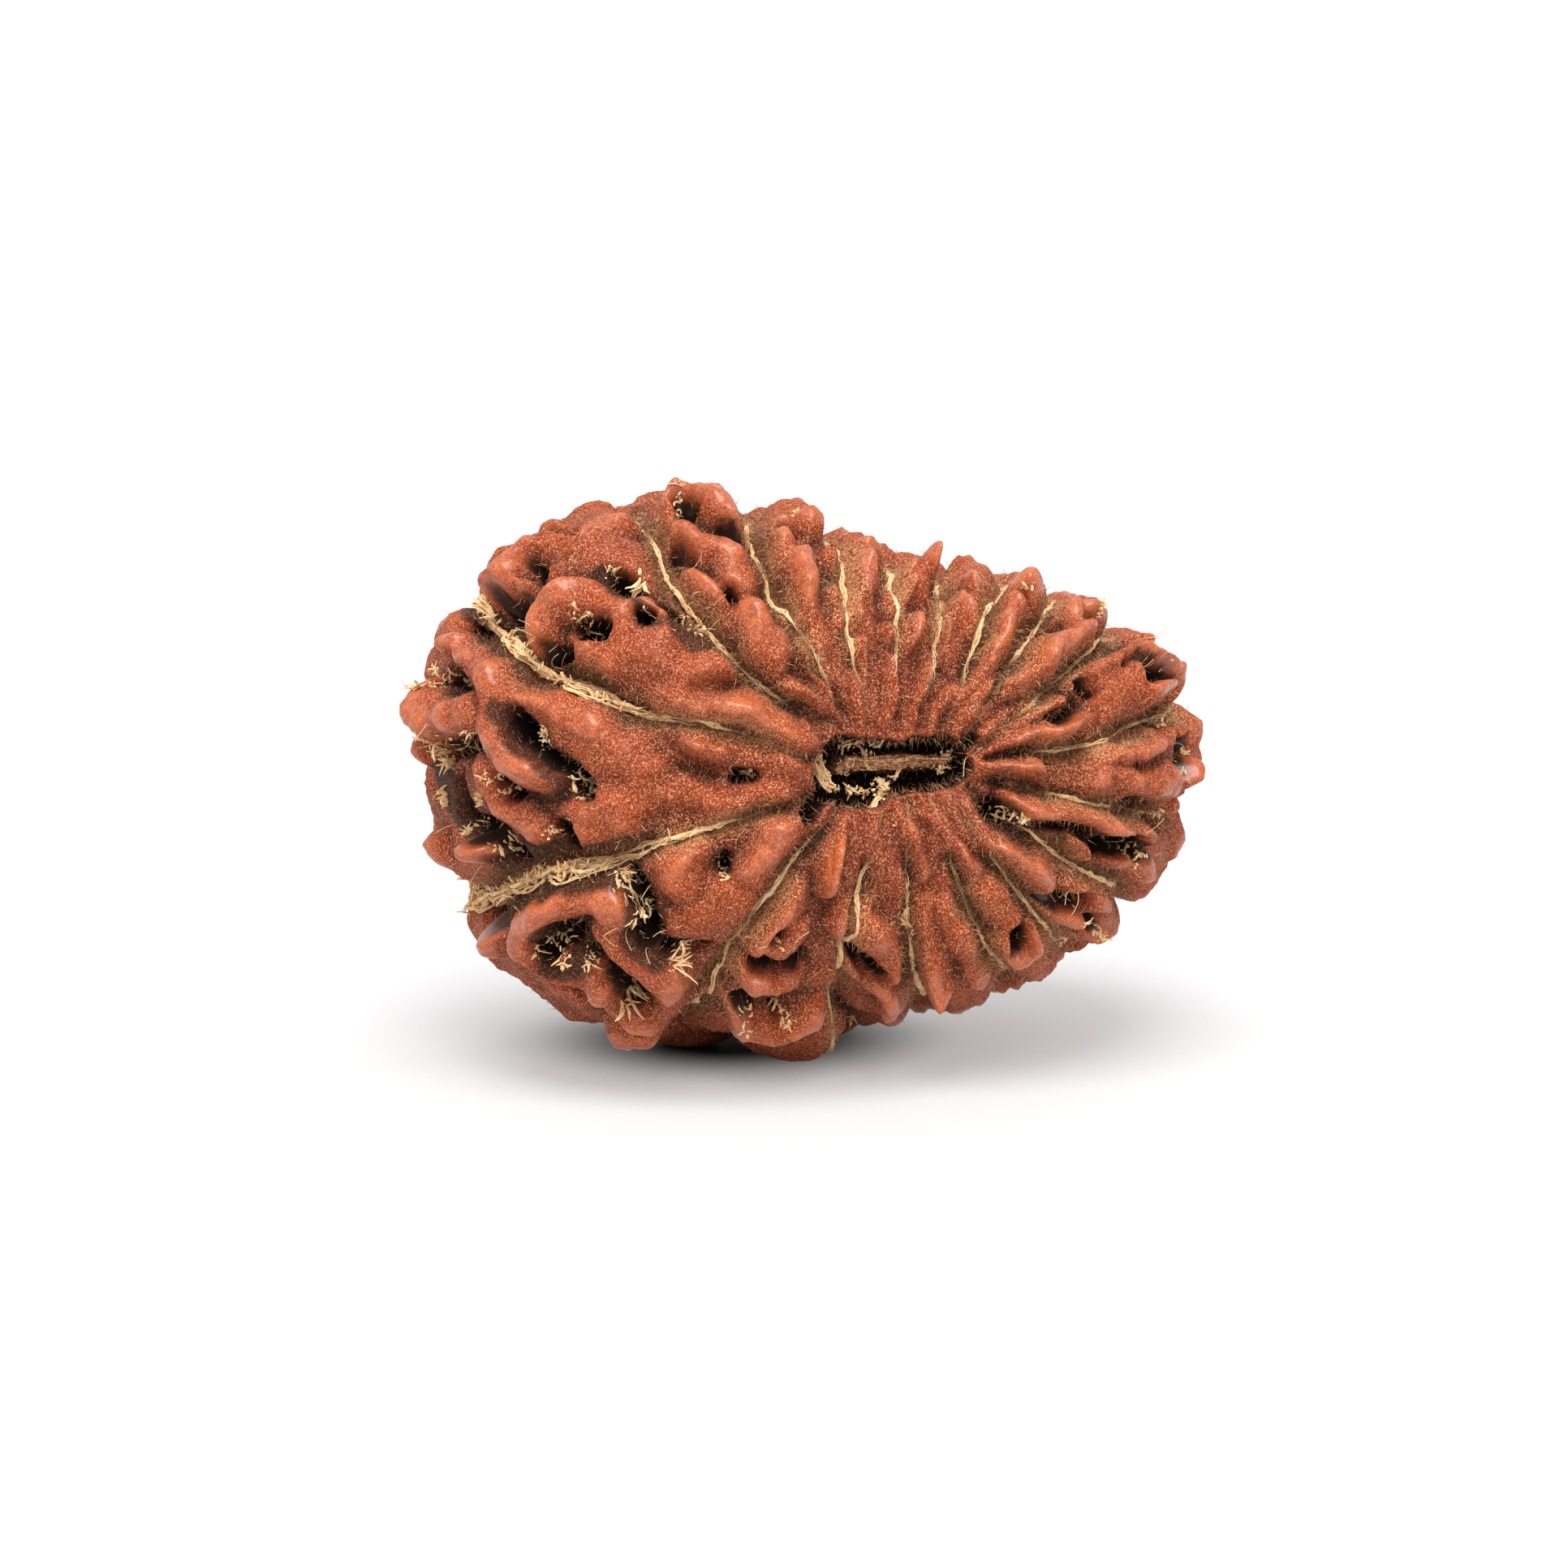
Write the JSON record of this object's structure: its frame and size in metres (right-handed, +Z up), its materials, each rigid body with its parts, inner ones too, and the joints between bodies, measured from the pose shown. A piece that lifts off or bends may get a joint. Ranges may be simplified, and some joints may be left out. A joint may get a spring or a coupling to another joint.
{
  "type": "rudraksha bead",
  "caption": "Many-faced rudraksha bead: a ribbed, knobbed seed stone lying on its side, with pale seams running from a slot at its pole.",
  "frame": {"origin": "On the plane that the bead lies on, under the middle of its length and width", "axes": "+X along the bead's length, from its thick end to its thin end. -Y the way the slotted front pole faces. +Z up, away from the plane that the bead lies on"},
  "size_m": [0.0315, 0.0238, 0.023],
  "materials": {
    "stone_skin": "reddish brown woody skin, satin where handling has polished the crests, dusty and dull in the grooves, near black in the pits",
    "dry_fibre": "pale straw coloured dry fruit fibre, matt"
  },
  "bodies": {
    "root": {"bead": "stone_skin"}
  },
  "joints": []
}
